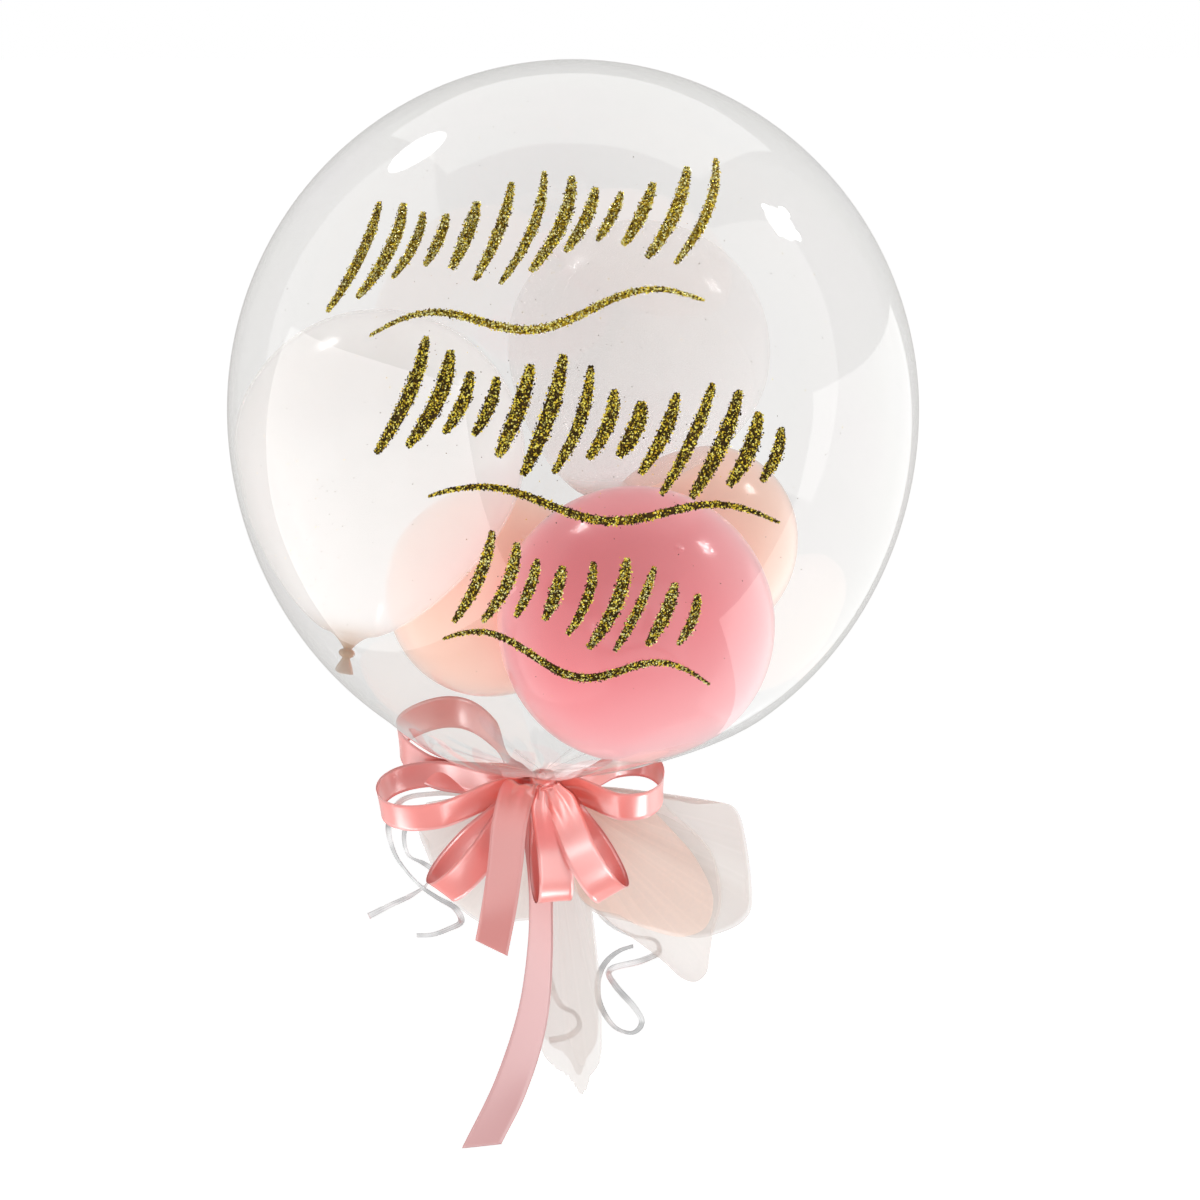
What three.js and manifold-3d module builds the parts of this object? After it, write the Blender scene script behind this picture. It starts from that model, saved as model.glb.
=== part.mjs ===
// A clear bubble balloon with a satin bow, a tulle bow and curling ribbons tied under its neck.
// Millimetres, +Z up. The origin is the centre of the neck tie, +X is to the right and +Y to the back.
import * as THREE from "three";
import { mergeVertices } from "three/addons/utils/BufferGeometryUtils.js";
import Module from "manifold-3d";

const wasm = await Module();
wasm.setup();

// Bubble
const BUBBLE_RADIUS = 305;
const CENTRE_HEIGHT = 334;
const CROWN_RISE = 308;
const BELLY_DROP = 327;
const NECK_OFFSET = 28;
const OFFSET_RISE = 70;
const BUBBLE_SIDES = 56;
const ARC_STEPS = 15;
const SHOULDER_RADIUS = 46;

// Neck, tie and knots, from the bubble down
const NECK_RADIUS = 7;
const NECK_END = -36;
const NECK_FLARE = 10;
const PLEATS = 8;
const PLEAT_DEPTH = 0.16;
const PLEAT_START = 0.5;
const PLEAT_FULL = 2.5;
const PLEAT_FADE = 3;
const PLEAT_END = 13;
const TIE_RADIUS = 10.5;
const TIE_HALF = 2.5;
const GAP = 0.4;
const RING_SIDES = 24;
const RING_BEVEL = 0.3;
const BOW_KNOT_RADIUS = 14;
const BOW_KNOT_TOP = -3;
const BOW_KNOT_BASE = -16;
const TULLE_KNOT_RADIUS = 10.5;
const TULLE_KNOT_TOP = -16.5;
const TULLE_KNOT_BASE = -27;

// Ribbons
const SATIN_WIDTH = 32;
const SATIN_THICKNESS = 0.8;
const ROOT_WIDTH = 0.6;
const ROOT_REACH = 18;
const ROOT_GAP = 2;
const STEM = 0.6;
const CUT_START = 0.8;
const LOOK_AHEAD = 0.004;
const LOOP_STEPS = 26;
const TAIL_STEPS = 22;
const CURL_DIAMETER = 6;
const CURL_SIDES = 8;
const CURL_STEPS = 20;

// The bow's loops: heading and pitch of the reach and roll of the loop about it, in degrees,
// and how far its far end is lifted
const LOOPS = [
  { root: [-9, 8, -11], heading: 141, pitch: 0, reach: 148, spread: 97, roll: -82, lift: 33 },
  { root: [-12, -1, -11], heading: 179, pitch: -6, reach: 140, spread: 56, roll: -64, lift: 0 },
  { root: [-11, -7, -11], heading: 188, pitch: -48, reach: 128, spread: 32, roll: -76, lift: 0 },
  { root: [12, -1, -13], heading: 3, pitch: 0, reach: 98, spread: 60, roll: 66, lift: 3 },
  { root: [7, -11, -9], heading: 334, pitch: -56, reach: 113, spread: 40, roll: 102, lift: 0 },
  { root: [3, -9, -11], heading: 285, pitch: -78, reach: 104, spread: 36, roll: 180, lift: 0 },
];

// The bow's two tails: a route, how far the cut slants, and the angle of the width at its root,
// a third of the way down and at its end
const TAILS = [
  {
    route: [
      [-5, -12, -8],
      [-20, -24, -6],
      [-29, -38, -29],
      [-34, -46, -72],
      [-40, -50, -113],
      [-47, -50, -150],
    ],
    slant: 11,
    facing: [0, 0, 8],
  },
  {
    route: [
      [-3, -12, -8],
      [-3, -14, -28],
      [-3, -8, -62],
      [-3, 2, -104],
      [-4, 8, -173],
      [-12, 6, -240],
      [-33, 3, -308],
      [-60, 0, -365],
    ],
    slant: -20,
    facing: [0, -46, 0],
  },
];

// The tulle: how deep its lobes are and how far they stand back, at their roots and further out,
// and their outlines seen from the front
const TULLE_DEPTH = 26;
const TULLE_ROOT_DEPTH = 6;
const TULLE_SWELL_REACH = 150;
const TULLE_BACK = 46;
const TULLE_ROOT_BACK = 11;
const TULLE_BACK_REACH = 45;
const TULLE_RIGHT = [
  [6, -18],
  [60, -37],
  [113, -36],
  [140, -43],
  [178, -41],
  [192, -72],
  [200, -124],
  [200, -154],
  [190, -167],
  [159, -179],
  [156, -200],
  [146, -212],
  [132, -208],
  [117, -194],
  [102, -174],
  [48, -156],
  [8, -27],
];
const TULLE_LEFT = [
  [-6, -18],
  [-16, -30],
  [-72, -42],
  [-124, -47],
  [-124, -62],
  [-109, -101],
  [-62, -161],
  [-22, -156],
  [-4, -27],
];
const TULLE_TAIL = [
  [-6, -20],
  [6, -20],
  [26, -92],
  [49, -154],
  [50, -231],
  [42, -317],
  [32, -318],
  [25, -344],
  [20, -312],
  [8, -302],
  [-6, -289],
  [0, -136],
];

// The curling ribbons: the routes of their middles
const CURLS = [
  [
    [-5, 28, -31],
    [-22, 54, -36],
    [-62, 66, -40],
    [-102, 64, -38],
    [-134, 54, -42],
    [-145, 36, -60],
    [-140, 26, -82],
    [-129, 16, -97],
    [-114, 9, -111],
    [-99, 9, -122],
    [-82, 12, -134],
    [-77, 9, -145],
    [-90, 3, -151],
    [-104, 0, -155],
    [-118, -2, -155],
  ],
  [
    [0, 29, -39],
    [-14, 54, -45],
    [-52, 72, -52],
    [-96, 74, -54],
    [-122, 68, -60],
    [-132, 58, -74],
    [-129, 54, -94],
    [-115, 68, -108],
    [-107, 64, -113],
    [-110, 32, -117],
    [-123, 10, -120],
    [-142, 2, -127],
    [-162, -2, -136],
  ],
  [
    [12, 28, -31],
    [28, 66, -54],
    [44, 76, -114],
    [50, 72, -156],
    [64, 66, -170],
    [84, 64, -179],
    [104, 66, -184],
    [108, 60, -192],
    [92, 44, -196],
    [60, 34, -203],
    [66, 22, -213],
    [84, 22, -235],
    [91, 28, -252],
    [82, 42, -268],
    [65, 56, -267],
    [51, 60, -244],
    [50, 58, -220],
    [57, 52, -201],
    [70, 48, -188],
    [83, 50, -184],
  ],
  [
    [10, 31, -47],
    [7, 64, -74],
    [2, 70, -156],
    [3, 70, -220],
    [14, 68, -250],
    [28, 68, -259],
    [32, 68, -271],
    [23, 68, -281],
    [3, 68, -286],
  ],
];

const RIGHT = new THREE.Vector3(1, 0, 0);
const UP = new THREE.Vector3(0, 0, 1);
const lerp = THREE.MathUtils.lerp;
const radians = THREE.MathUtils.degToRad;
const ease = (low, high, x) => THREE.MathUtils.smoothstep(x, low, high);

function toSolid(geometry) {
  const bare = geometry.clone();
  bare.deleteAttribute("normal");
  bare.deleteAttribute("uv");
  const merged = mergeVertices(bare, 1e-3);
  return new wasm.Manifold(
    new wasm.Mesh({
      numProp: 3,
      vertProperties: merged.attributes.position.array,
      triVerts: new Uint32Array(merged.index.array),
    }),
  );
}

function toGeometry(solid) {
  const mesh = solid.getMesh();
  const geometry = new THREE.BufferGeometry();
  geometry.setAttribute("position", new THREE.BufferAttribute(mesh.vertProperties, 3));
  geometry.setIndex(new THREE.BufferAttribute(mesh.triVerts, 1));
  return geometry;
}

const allOf = (geometries) => geometries.map(toSolid).reduce((a, b) => a.add(b));

// Moves each point of a geometry to where place(point) puts it
function reshaped(geometry, place) {
  const position = geometry.attributes.position;
  const point = new THREE.Vector3();
  for (let i = 0; i < position.count; i++) {
    place(point.fromBufferAttribute(position, i));
    position.setXYZ(i, point.x, point.y, point.z);
  }
  return geometry;
}

// A body turned about the vertical axis, from a profile of [radius, height] pairs
function turned(profile, sides) {
  const points = profile.map(([radius, height]) => new THREE.Vector2(radius, height));
  return new THREE.LatheGeometry(points, sides).rotateX(Math.PI / 2);
}

function ring(inner, outer, base, top) {
  const bevel = (outer - inner) * RING_BEVEL;
  const profile = [
    [inner, base],
    [outer - bevel, base],
    [outer, base + bevel],
    [outer, top - bevel],
    [outer - bevel, top],
    [inner, top],
    [inner, base],
  ];
  return turned(profile, RING_SIDES);
}

const column = (radius, base, top) => [
  [0, base],
  [radius, base],
  [radius, top],
  [0, top],
];

function bubbleProfile() {
  const poleHeight = CENTRE_HEIGHT - BELLY_DROP;
  const profile = [
    [0, NECK_END],
    [NECK_FLARE, NECK_END],
    [NECK_RADIUS, TULLE_KNOT_BASE],
    [NECK_RADIUS, TIE_HALF],
    [NECK_RADIUS * 1.6, TIE_HALF + 2],
    [SHOULDER_RADIUS * 0.5, poleHeight - 1],
  ];
  const shoulder = Math.asin(SHOULDER_RADIUS / BUBBLE_RADIUS);
  for (let i = 0; i <= ARC_STEPS; i++) {
    const angle = lerp(shoulder, Math.PI / 2, i / ARC_STEPS);
    profile.push([
      BUBBLE_RADIUS * Math.sin(angle),
      CENTRE_HEIGHT - BELLY_DROP * Math.cos(angle),
    ]);
  }
  for (let i = 1; i <= ARC_STEPS; i++) {
    const angle = (i / ARC_STEPS) * (Math.PI / 2);
    profile.push([
      i === ARC_STEPS ? 0 : BUBBLE_RADIUS * Math.cos(angle),
      CENTRE_HEIGHT + CROWN_RISE * Math.sin(angle),
    ]);
  }
  return profile;
}

// The film gathers into pleats at the neck, and the bubble stands to the right of the neck
function bubble() {
  const body = turned(bubbleProfile(), BUBBLE_SIDES);
  return reshaped(body, (p) => {
    const above = p.z - TIE_HALF;
    const gathered = ease(PLEAT_START, PLEAT_FULL, above) * (1 - ease(PLEAT_FADE, PLEAT_END, above));
    const pleat = 1 + PLEAT_DEPTH * gathered * Math.cos(PLEATS * Math.atan2(p.y, p.x));
    p.x = p.x * pleat + NECK_OFFSET * ease(0, OFFSET_RISE, above);
    p.y *= pleat;
  });
}

// A thin strip bent along a route: across(t) is the direction of its width
function strip(route, across, widthAt, steps, slant = 0) {
  const box = new THREE.BoxGeometry(1, SATIN_THICKNESS, 1, 1, 1, steps);
  return reshaped(box, (p) => {
    const t = THREE.MathUtils.clamp(p.z + 0.5, 0, 1);
    const behind = route(Math.max(t - LOOK_AHEAD, 0));
    const ahead = route(Math.min(t + LOOK_AHEAD, 1)).sub(behind).normalize();
    const side = across(t);
    side.addScaledVector(ahead, -side.dot(ahead)).normalize();
    const face = new THREE.Vector3().crossVectors(ahead, side);
    const shift = p.x * slant * ease(CUT_START, 1, t);
    const [x, y] = [p.x * widthAt(t), p.y];
    p.copy(route(t)).addScaledVector(side, x).addScaledVector(face, y);
    p.addScaledVector(ahead, shift);
  });
}

const gatheredWidth = (far) => SATIN_WIDTH * lerp(ROOT_WIDTH, 1, ease(0, ROOT_REACH, far));

// A teardrop loop: it leaves its root, turns at its reach and comes back to the root
function bowLoop({ root, heading, pitch, reach, spread, roll, lift }) {
  const [h, p, r] = [radians(heading), radians(pitch), radians(roll)];
  const out = new THREE.Vector3(
    Math.cos(p) * Math.cos(h),
    Math.cos(p) * Math.sin(h),
    Math.sin(p),
  );
  const level = new THREE.Vector3(-Math.sin(h), Math.cos(h), 0);
  const above = new THREE.Vector3().crossVectors(out, level);
  const opening = above.clone().multiplyScalar(Math.cos(r)).addScaledVector(level, Math.sin(r));
  const start = new THREE.Vector3(...root);
  const route = (t) => {
    const far = Math.sin(Math.PI * t);
    const bulge = (spread / 2) * Math.sin(2 * Math.PI * t) * ease(0, STEM, far);
    const apart = bulge + ROOT_GAP * (1 - 2 * t);
    return start
      .clone()
      .addScaledVector(out, reach * far)
      .addScaledVector(opening, apart)
      .addScaledVector(UP, lift * ease(0, 1, far) ** 2);
  };
  const across = () => new THREE.Vector3().crossVectors(out, opening);
  return strip(route, across, (t) => gatheredWidth(reach * Math.sin(Math.PI * t)), LOOP_STEPS);
}

function bowTail({ route, slant, facing }) {
  const curve = new THREE.CatmullRomCurve3(route.map((p) => new THREE.Vector3(...p)));
  const [first, middle, last] = facing.map(radians);
  const angleAt = (t) => lerp(lerp(first, middle, ease(0, 1 / 3, t)), last, ease(1 / 3, 1, t));
  const across = (t) => RIGHT.clone().applyAxisAngle(UP, angleAt(t));
  const widthAt = (t) => gatheredWidth(t * curve.getLength());
  return strip((t) => curve.getPointAt(t), across, widthAt, TAIL_STEPS, slant);
}

// The ribbons stay clear of the neck in the knot's bore and of the tulle knot below it
function satinBow() {
  const knot = ring(NECK_RADIUS + GAP, BOW_KNOT_RADIUS, BOW_KNOT_BASE, BOW_KNOT_TOP);
  const bow = allOf([knot, ...LOOPS.map(bowLoop), ...TAILS.map(bowTail)]);
  const below = NECK_END - GAP;
  const bore = turned(column(NECK_RADIUS + GAP, below, BOW_KNOT_TOP), RING_SIDES);
  const seat = turned(column(TULLE_KNOT_RADIUS + GAP, below, BOW_KNOT_BASE - GAP / 2), RING_SIDES);
  const bodies = bow.subtract(toSolid(bore)).subtract(toSolid(seat)).decompose();
  return toGeometry(bodies.sort((a, b) => b.volume() - a.volume())[0]);
}

// A lobe of tulle: its outline, as deep as depthAt(distance from the knot), standing back from it
function tulleLobe(outline, depthAt, backAt) {
  const shape = new THREE.Shape(outline.map(([x, z]) => new THREE.Vector2(x, z)));
  const slab = new THREE.ExtrudeGeometry(shape, { depth: 1, bevelEnabled: false });
  slab.rotateX(Math.PI / 2).translate(0, 0.5, 0);
  return reshaped(slab, (p) => {
    const far = Math.hypot(p.x, p.z - TULLE_KNOT_BASE);
    p.y = backAt(far) + p.y * depthAt(far);
  });
}

function tulleBow() {
  const knot = ring(NECK_RADIUS + GAP, TULLE_KNOT_RADIUS, TULLE_KNOT_BASE, TULLE_KNOT_TOP);
  const swelling = (far) => lerp(TULLE_ROOT_DEPTH, TULLE_DEPTH, ease(0, TULLE_SWELL_REACH, far));
  const back = (far) => lerp(TULLE_ROOT_BACK, TULLE_BACK, ease(0, TULLE_BACK_REACH, far));
  const lobes = [TULLE_RIGHT, TULLE_LEFT].map((o) => tulleLobe(o, swelling, back));
  const tail = tulleLobe(TULLE_TAIL, () => TULLE_ROOT_DEPTH, back);
  return toGeometry(allOf([knot, ...lobes, tail]));
}

function curl(points) {
  const route = new THREE.CatmullRomCurve3(points.map((p) => new THREE.Vector3(...p)));
  const section = new THREE.Shape();
  for (let i = 0; i < CURL_SIDES; i++) {
    const angle = (i / CURL_SIDES) * 2 * Math.PI;
    const [x, y] = [Math.cos(angle), Math.sin(angle)].map((v) => (v * CURL_DIAMETER) / 2);
    if (i === 0) section.moveTo(x, y);
    else section.lineTo(x, y);
  }
  return new THREE.ExtrudeGeometry(section, { steps: CURL_STEPS, extrudePath: route });
}

const FILM = { color: 0xf4f4f2, roughness: 0.05, transparent: true, opacity: 0.25 };
const ELASTIC = { color: 0xf2efe9, roughness: 0.6 };
const SATIN = { color: 0xee8a86, roughness: 0.35 };
const TULLE = { color: 0xf6dccf, roughness: 0.8 };
const FOIL = { color: 0xe2e4e4, roughness: 0.2, metalness: 0.3 };

const balloon = new THREE.Group();

function addPiece(name, geometry, finish) {
  const mesh = new THREE.Mesh(geometry, new THREE.MeshStandardMaterial(finish));
  mesh.name = name;
  balloon.add(mesh);
}

addPiece("bubble", bubble(), FILM);
addPiece("neck_tie", ring(NECK_RADIUS + GAP, TIE_RADIUS, -TIE_HALF, TIE_HALF), ELASTIC);
addPiece("satin_bow", satinBow(), SATIN);
addPiece("tulle_bow", tulleBow(), TULLE);
CURLS.forEach((points, i) => addPiece(`curling_ribbon_${i + 1}`, curl(points), FOIL));

export default balloon;
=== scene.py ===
import math

import bpy
import numpy as np
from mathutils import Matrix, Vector


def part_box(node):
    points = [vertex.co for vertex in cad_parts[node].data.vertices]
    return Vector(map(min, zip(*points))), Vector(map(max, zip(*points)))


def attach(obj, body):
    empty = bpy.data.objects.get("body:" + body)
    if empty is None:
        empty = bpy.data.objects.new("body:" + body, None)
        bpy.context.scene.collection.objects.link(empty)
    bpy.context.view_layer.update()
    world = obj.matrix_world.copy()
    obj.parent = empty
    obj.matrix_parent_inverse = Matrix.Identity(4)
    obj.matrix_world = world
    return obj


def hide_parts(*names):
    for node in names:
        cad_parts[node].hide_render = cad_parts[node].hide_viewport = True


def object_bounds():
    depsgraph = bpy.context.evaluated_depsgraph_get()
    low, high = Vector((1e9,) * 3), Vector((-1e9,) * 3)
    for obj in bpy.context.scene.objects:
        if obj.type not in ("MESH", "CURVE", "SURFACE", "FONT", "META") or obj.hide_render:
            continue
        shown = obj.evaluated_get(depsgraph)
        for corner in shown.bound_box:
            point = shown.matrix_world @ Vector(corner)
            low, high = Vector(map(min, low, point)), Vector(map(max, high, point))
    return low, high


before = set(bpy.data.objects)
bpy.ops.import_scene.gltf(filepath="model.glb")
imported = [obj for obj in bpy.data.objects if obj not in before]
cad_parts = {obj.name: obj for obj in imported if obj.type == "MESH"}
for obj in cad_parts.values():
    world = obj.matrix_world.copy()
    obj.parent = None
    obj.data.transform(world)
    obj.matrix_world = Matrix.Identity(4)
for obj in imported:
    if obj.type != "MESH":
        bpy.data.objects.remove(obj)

# A clear bubble balloon: a film bubble with small latex balloons inside it and gold glitter strokes on
# it, over a satin bow, a tulle bow and curling ribbons. Metres, +Z up, the origin at the neck tie.

cad_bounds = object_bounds()
MM = 0.001

# ---------------------------------------------------------------------------------------------------
# Sizes

BUBBLE_LOW, BUBBLE_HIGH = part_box("bubble")
BUBBLE_RADIUS = (BUBBLE_HIGH.y - BUBBLE_LOW.y) / 2
CENTRE = Vector(((BUBBLE_LOW.x + BUBBLE_HIGH.x) / 2, 0, 0.334))
CROWN_RISE = BUBBLE_HIGH.z - CENTRE.z
BELLY_DROP = 0.327
NECK_RADIUS = 0.007
NECK_FLARE = 0.010
NECK_END = BUBBLE_LOW.z
SHOULDER_RADIUS = 0.046
OFFSET_RISE = 0.070
TIE_HALF = 0.0025

SATIN_WIDTH = 0.032
SATIN_THICKNESS = 0.0004
CURL_WIDTH = 0.006

VIEW_TILT = math.radians(13)
VIEW_DISTANCE = 2.6
VIEW_TARGET = Vector((0.0516, 0, 0.163))
LENS = 86.6
SENSOR_WIDTH = 36
FARTHEST_SEEN = 200

# The view's own directions: to the viewer's right, up the view and out of it towards the viewer
ACROSS = Vector((1, 0, 0))
UPWARD = Vector((0, math.sin(VIEW_TILT), math.cos(VIEW_TILT)))
NEARER = Vector((0, -math.cos(VIEW_TILT), math.sin(VIEW_TILT)))

GLITTER_SEED = 24
rng = np.random.default_rng(GLITTER_SEED)


def facing(across, upward, nearer=0.0):
    """A place given from the bubble's centre in the view's directions."""
    return CENTRE + ACROSS * across + UPWARD * upward + NEARER * nearer


def ease(low, high, x):
    t = np.clip((np.asarray(x, float) - low) / (high - low), 0, 1)
    return t * t * (3 - 2 * t)


def lerp(a, b, t):
    return a + (b - a) * t


def unit(v):
    v = np.asarray(v, float)
    return v / np.linalg.norm(v, axis=-1, keepdims=True)


# ---------------------------------------------------------------------------------------------------
# Shader maths


class Value:
    """A shader socket that takes part in Python arithmetic."""

    def __init__(self, finish, socket):
        self.finish = finish
        self.socket = socket

    def __add__(self, other):
        return self.finish.math("ADD", self, other)

    __radd__ = __add__

    def __mul__(self, other):
        return self.finish.math("MULTIPLY", self, other)

    __rmul__ = __mul__

    def __sub__(self, other):
        return self.finish.math("SUBTRACT", self, other)

    def __rsub__(self, other):
        return self.finish.math("SUBTRACT", other, self)

    def __pow__(self, other):
        return self.finish.math("POWER", self, other)


class Finish:
    """A material, or the world, and the nodes it is made of."""

    def __init__(self, name, owner=None):
        self.owner = owner or bpy.data.materials.new(name)
        self.owner.use_nodes = True
        self.tree = self.owner.node_tree
        self.tree.nodes.clear()

    def node(self, kind, sockets=None, stops=None, **settings):
        node = self.tree.nodes.new(kind)
        for name, value in settings.items():
            setattr(node, name, value)
        if stops:
            ramp = node.color_ramp
            while len(ramp.elements) < len(stops):
                ramp.elements.new(1)
            for element, (place, colour) in zip(ramp.elements, stops):
                element.position = place
                element.color = colour
        for name, value in (sockets or {}).items():
            self.feed(node.inputs[name], value)
        return node

    def feed(self, socket, value):
        if isinstance(value, Value):
            self.tree.links.new(value.socket, socket)
        else:
            socket.default_value = value

    def out(self, node, name=0):
        return Value(self, node.outputs[name])

    def math(self, operation, a, b):
        return self.out(self.node("ShaderNodeMath", {0: a, 1: b}, operation=operation))

    def place(self, name="Object"):
        return self.out(self.node("ShaderNodeTexCoord"), name)

    def scaled_place(self, across, along):
        """Ribbon coordinates, in metres, with each direction stretched by its own factor."""
        sockets = {"Vector": self.place("UV"), "Scale": (across, along, 1)}
        return self.out(self.node("ShaderNodeMapping", sockets))

    def stored(self, name):
        return self.out(self.node("ShaderNodeAttribute", attribute_name=name), "Fac")

    def noise(self, scale, detail=2.0, roughness=0.5, where=None):
        sockets = {"Scale": scale, "Detail": detail, "Roughness": roughness}
        sockets["Vector"] = where or self.place()
        return self.out(self.node("ShaderNodeTexNoise", sockets), "Fac")

    def blend(self, factor, a, b):
        """A colour from a to b. The node has several sockets of each name, one for each kind of value."""
        node = self.node("ShaderNodeMix", data_type="RGBA")
        for name, kind, value in (("Factor", "VALUE", factor), ("A", "RGBA", a), ("B", "RGBA", b)):
            self.feed(next(s for s in node.inputs if s.name == name and s.type == kind), value)
        return Value(self, next(s for s in node.outputs if s.type == "RGBA"))

    def ramp(self, factor, stops):
        return self.out(self.node("ShaderNodeValToRGB", {"Fac": factor}, stops=stops))

    def bump(self, height, distance, strength=1.0):
        sockets = {"Height": height, "Distance": distance, "Strength": strength}
        return self.out(self.node("ShaderNodeBump", sockets), "Normal")

    def surface(self, **sockets):
        named = {name.replace("_", " "): value for name, value in sockets.items()}
        return self.out(self.node("ShaderNodeBsdfPrincipled", named))

    def done(self, shader):
        kind = "World" if isinstance(self.owner, bpy.types.World) else "Material"
        self.node(f"ShaderNodeOutput{kind}", {"Surface": shader})
        return self.owner


def rgb(r, g, b):
    return (r, g, b, 1.0)


# ---------------------------------------------------------------------------------------------------
# Finishes

# How much of what falls on the film face on is mirrored, what is let through, and how much more
# mirrored and how much rougher it is where it is gathered
FILM_MIRROR = 0.115
FILM_CLEAR = (0.932, 0.927, 0.923)
FILM_GATHERED = 0.3


def film_finish():
    """Clear stretched film: it mirrors a little face on and a lot at its edge, and where it is
    gathered to the neck its pleats show as soft white lines."""
    f = Finish("clear_film")
    gathered = f.stored("gathered")
    turned_away = f.out(f.node("ShaderNodeLayerWeight", {"Blend": 0.5}), "Facing")
    mirror = FILM_MIRROR + FILM_GATHERED * gathered + (1 - FILM_MIRROR) * turned_away**5
    ripple = f.bump(f.noise(9, 1.0), 0.002, 0.5)
    tints = f.ramp(
        f.noise(5, 1.0),
        [(0.3, rgb(1.0, 0.96, 0.97)), (0.5, rgb(0.97, 0.99, 0.97)), (0.7, rgb(0.96, 0.97, 1.0))],
    )
    rough = 0.03 + FILM_GATHERED * gathered
    gloss = f.surface(Base_Color=tints, Metallic=1.0, Roughness=rough, Normal=ripple)
    clear = f.out(f.node("ShaderNodeBsdfTransparent", {"Color": rgb(*FILM_CLEAR)}))
    return f.done(f.out(f.node("ShaderNodeMixShader", {0: mirror, 1: clear, 2: gloss})))


def latex_finish(name, body, pale, neck, alpha, painted_glow):
    """Blown latex: painted paler where more light falls on and comes through it, deeper at the neck and
    knot.
    alpha is how solid it looks, and the last value how strongly it glows as painted light, not a lamp."""
    f = Finish(name)
    close = f.stored("neck")
    lit = f.stored("lit")
    cloudy = f.noise(14, 2.0)
    # Painted light: the colour turns to the paler one where the stored lit share is high
    colour = f.blend(lit * (0.85 + 0.3 * cloudy), body, pale)
    colour = f.blend(close, colour, neck)
    shader = f.surface(
        Base_Color=colour,
        Roughness=0.14 + 0.06 * cloudy,
        Coat_Weight=0.4,
        Coat_Roughness=0.04,
        Sheen_Weight=0.25,
        Sheen_Roughness=0.5,
        # Painted light: the latex glows in its own colour, though it is no lamp
        Emission_Color=colour,
        Emission_Strength=painted_glow,
        Alpha=alpha + (0.92 - alpha) * close,
    )
    return f.done(shader)


def glitter_finish():
    """Loose gold flakes, each with a tone of its own at random: the near-black tones are painted shade
    and the pale yellow ones painted glints, for flakes turned away from the light and towards it.
    """
    f = Finish("gold_glitter")
    tone = f.stored("tone")
    colour = f.ramp(
        tone,
        [
            (0.0, rgb(0.03, 0.018, 0.004)),
            (0.36, rgb(0.11, 0.058, 0.008)),
            (0.48, rgb(0.92, 0.60, 0.025)),
            (0.72, rgb(1.0, 0.84, 0.09)),
            (1.0, rgb(1.0, 0.95, 0.45)),
        ],
    )
    return f.done(f.surface(Base_Color=colour, Metallic=0.75, Roughness=0.4 - 0.2 * tone))


def satin_finish():
    """Woven satin ribbon: fine threads along its length, firm edges and a strong soft shine."""
    f = Finish("coral_satin")
    threads = f.noise(3600, 1.0, where=f.scaled_place(1.0, 0.05))
    colour = f.blend(f.noise(22, 2.0), rgb(0.72, 0.122, 0.102), rgb(0.78, 0.158, 0.132))
    # Painted shade and bounced light: deeper and redder near the knot, where the loops shade each other
    colour = f.blend(f.stored("deep"), colour, rgb(0.99, 0.125, 0.08))
    # Painted light: the long tail is paler towards its end, where more light falls on it and comes
    # through it
    colour = f.blend(f.stored("thin"), colour, rgb(0.80, 0.36, 0.36))
    colour = f.blend(threads * 0.16, colour, rgb(0.86, 0.38, 0.35))
    shader = f.surface(
        Base_Color=colour,
        Roughness=0.31 + 0.08 * threads,
        Normal=f.bump(threads, 0.0001, 0.25),
        IOR=1.9,
        Specular_IOR_Level=1.0,
        Coat_Weight=1.0,
        Coat_Roughness=0.27,
        Coat_IOR=2.2,
        Sheen_Weight=0.2,
        Sheen_Roughness=0.4,
    )
    return f.done(shader)


def tulle_finish(name, alpha, colour, deep):
    """Fine stiff net: see-through, denser where it is gathered, with a faint grain of threads and a faint
    painted glow for the light that comes through it.
    """
    f = Finish(name)
    dense = f.stored("dense")
    cloth = f.blend(f.noise(14, 2.0) * 0.5 + dense * 0.6, colour, deep)
    cloth = f.blend(f.noise(300, 1.0) * 0.3, cloth, rgb(0.62, 0.58, 0.55))
    shader = f.surface(
        Base_Color=cloth,
        Roughness=0.9,
        Sheen_Weight=0.15,
        # Painted light: the net glows a little in its own colour, though it is no lamp
        Emission_Color=cloth,
        Emission_Strength=0.10,
        Alpha=alpha + 0.25 * dense,
    )
    return f.done(shader)


def curl_finish():
    """Pearly curling ribbon, smoothed along its length by the blade that curled it, with painted
    reflections:
    patches of lighter and greyer colour.
    """
    f = Finish("pearl_curling_ribbon")
    streaks = f.noise(500, 2.0, where=f.scaled_place(1.0, 0.03))
    # Painted reflections: lighter and greyer patches in the colour
    painted_sheen = f.ramp(f.noise(38, 1.0), [(0.4, rgb(0.60, 0.605, 0.61)), (0.56, rgb(0.95, 0.95, 0.95))])
    colour = f.blend(streaks * 0.3, painted_sheen, rgb(0.84, 0.84, 0.84))
    shader = f.surface(
        Base_Color=colour,
        Metallic=0.35,
        Roughness=0.22 + 0.12 * streaks,
    )
    return f.done(shader)


def elastic_finish():
    f = Finish("white_elastic")
    fibres = f.noise(500, 3.0)
    colour = f.blend(fibres, rgb(0.78, 0.75, 0.7), rgb(0.92, 0.9, 0.86))
    return f.done(f.surface(Base_Color=colour, Roughness=0.6, Normal=f.bump(fibres, 0.0004, 0.5)))


FLOOR_GLOW = 0.61


def floor_finish():
    f = Finish("pale_floor")
    colour = f.blend(f.noise(3, 2.0), rgb(0.93, 0.93, 0.93), rgb(0.96, 0.96, 0.96))
    shader = f.surface(
        Base_Color=colour,
        Roughness=0.8,
        Emission_Color=rgb(1, 1, 1),
        Emission_Strength=FLOOR_GLOW,
    )
    return f.done(shader)


# ---------------------------------------------------------------------------------------------------
# Meshes


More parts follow.
